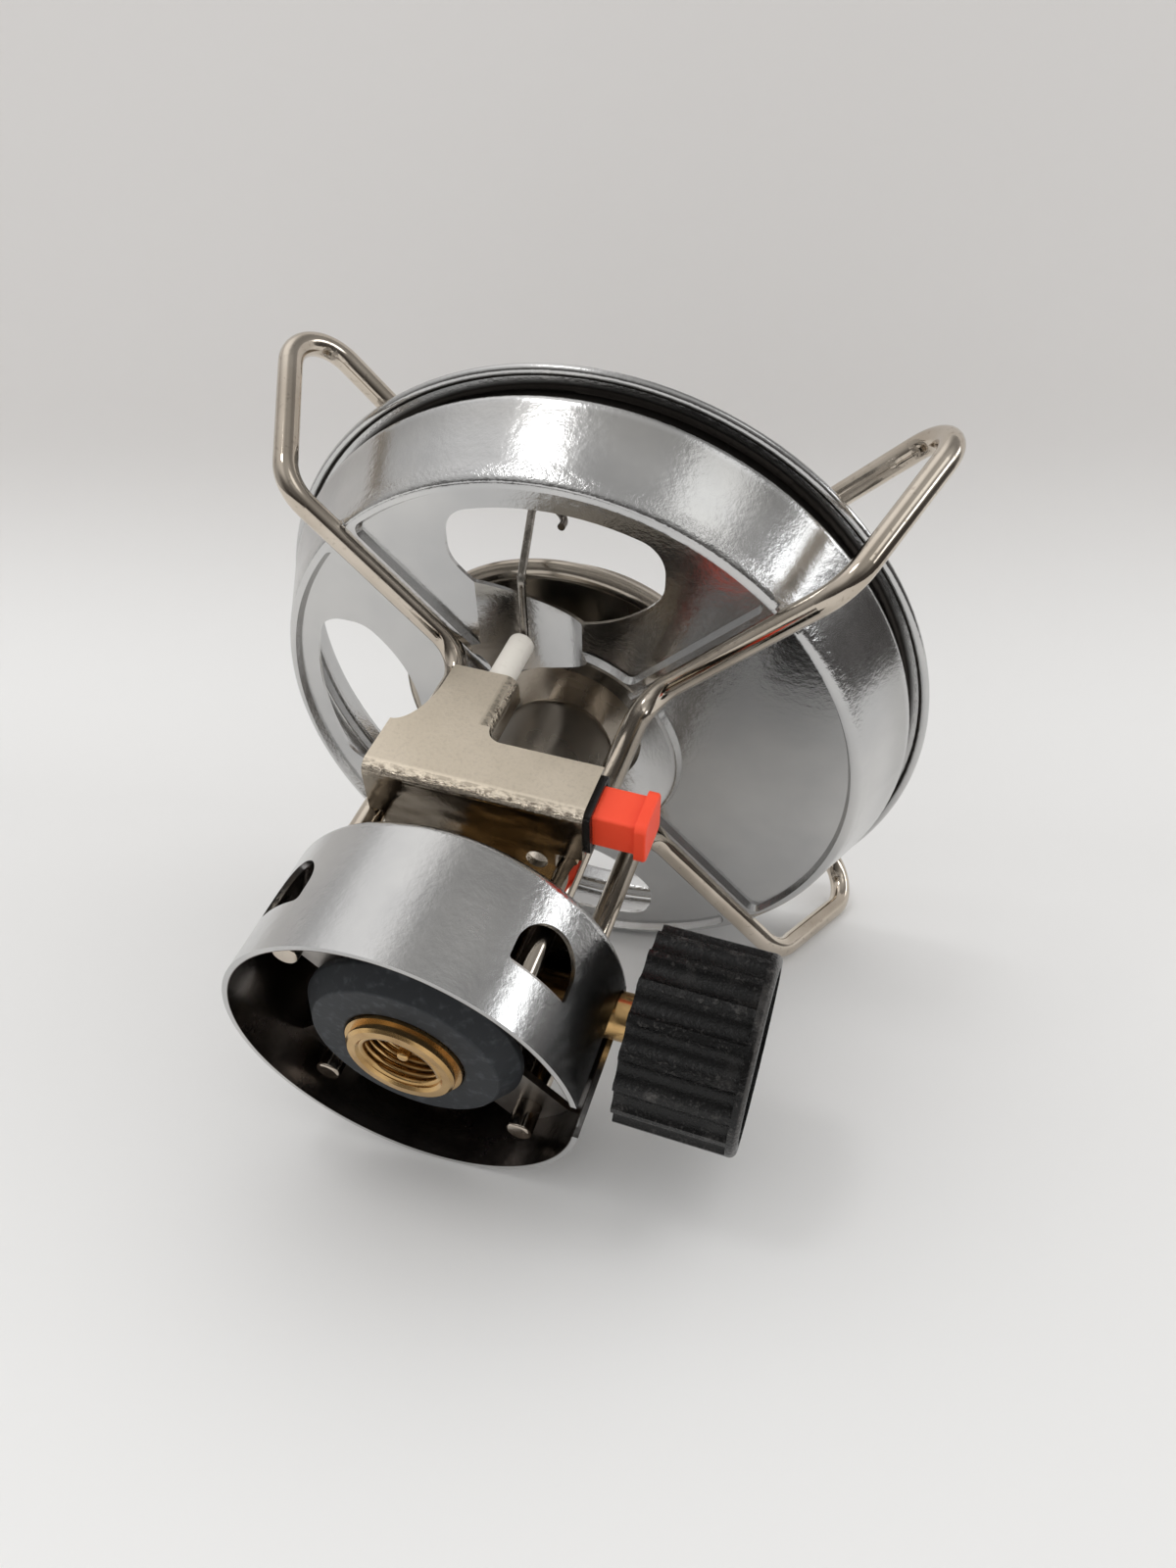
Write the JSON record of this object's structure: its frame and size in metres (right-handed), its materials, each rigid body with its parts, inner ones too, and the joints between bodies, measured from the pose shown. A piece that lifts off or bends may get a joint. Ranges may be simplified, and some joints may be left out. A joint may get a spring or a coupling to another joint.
{
  "type": "camping stove",
  "caption": "Screw-on gas camping stove with a burner in a round bowl, wire pot supports, slotted valve collar, fluted control knob and push-button piezo igniter.",
  "frame": {"origin": "on the burner and canister-thread axis, in the plane of the collar's open rim", "axes": "+Z from the collar to the pot supports, +X along the valve spindle to the control knob, -Y to the piezo igniter"},
  "size_m": [0.1096, 0.1096, 0.0903],
  "materials": {
    "plated_steel": "zinc-bright plating with a soft haze",
    "nickel_wire": "bright nickel",
    "nickel_sheet": "satin nickel outside, bright on the bend",
    "steel_plate": "plain",
    "brass": "machined",
    "rubber": "matt",
    "burner_steel": "dark satin",
    "knob_plastic": "fine grain",
    "housing_plastic": "smooth",
    "button_plastic": "smooth",
    "ceramic": "unglazed",
    "electrode_wire": "drawn wire"
  },
  "bodies": {
    "stove": {"collar": "plated_steel", "spider_plate": "steel_plate", "canister_pad": "rubber", "pad_backing": "steel_plate", "valve_body": "brass", "depressor_pin": "brass", "inlet_seal": "rubber", "gland_nut": "brass", "collar_nut": "brass", "jet": "brass", "pot_support_1": "nickel_wire", "pot_support_2": "nickel_wire", "pot_support_3": "nickel_wire", "pot_support_4": "nickel_wire", "bowl": "plated_steel", "mixing_tube": "burner_steel", "burner_pan": "burner_steel", "burner_head": "burner_steel", "burner_cap": "burner_steel", "igniter_bracket": "nickel_sheet", "piezo_housing": "housing_plastic", "piezo_crystal": "ceramic", "piezo_anvil": "steel_plate", "ceramic_tube": "ceramic", "electrode": "electrode_wire"},
    "knob": {"spindle": "brass", "spindle_oring": "rubber", "knob": "knob_plastic"},
    "button": {"button": "button_plastic", "piezo_hammer": "steel_plate"}
  },
  "joints": [
    {"name": "knob_turn", "type": "hinge", "parent": "stove", "child": "knob", "pos_m": [0, 0, 0.0157], "axis": [1, 0, 0], "range_deg": [0, 450]},
    {"name": "button_press", "type": "slide", "parent": "stove", "child": "button", "axis": [-1, 0, 0], "range_m": [0, 0.0046], "stiffness_N_per_m": 2500}
  ]
}
